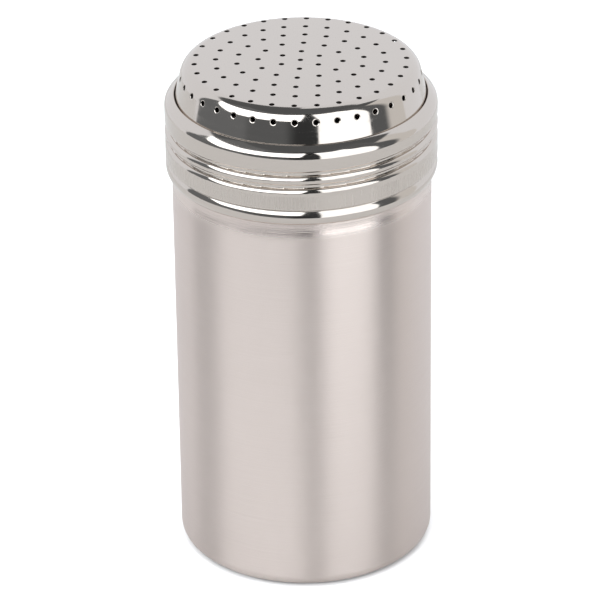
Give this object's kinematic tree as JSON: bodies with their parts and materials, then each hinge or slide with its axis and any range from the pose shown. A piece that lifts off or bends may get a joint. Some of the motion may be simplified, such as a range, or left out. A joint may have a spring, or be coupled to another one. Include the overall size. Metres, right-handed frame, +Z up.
{
  "type": "spice shaker",
  "caption": "Cylindrical stainless steel spice shaker: a drawn can closed by a screw ring that holds a low perforated dome.",
  "frame": {"origin": "centre of the circle that the can stands on, at the floor", "axes": "+Z up along the axis of the can; -Y is the side seen in front; +X to the right of it"},
  "size_m": [0.0732, 0.0732, 0.1428],
  "materials": {
    "brushed_can": "brushed round the can",
    "polished_ring": "polished stainless steel, brushed band",
    "polished_dome": "polished stainless steel"
  },
  "bodies": {
    "can": {"shaker_can": "brushed_can"},
    "dome": {"perforated_dome": "polished_dome"},
    "ring": {"screw_ring": "polished_ring"}
  },
  "joints": [
    {"name": "lid_lift", "type": "slide", "parent": "can", "child": "dome", "axis": [0, 0, 1], "range_m": [0, 0.00556]},
    {"name": "ring_turn", "type": "hinge", "parent": "dome", "child": "ring", "pos_m": [0, 0, 0], "axis": [0, 0, 1], "range_deg": [0, 555]}
  ],
  "couplings": [
    {"joint": "lid_lift", "follows": "ring_turn", "m_per_rad": 0.00057296}
  ]
}
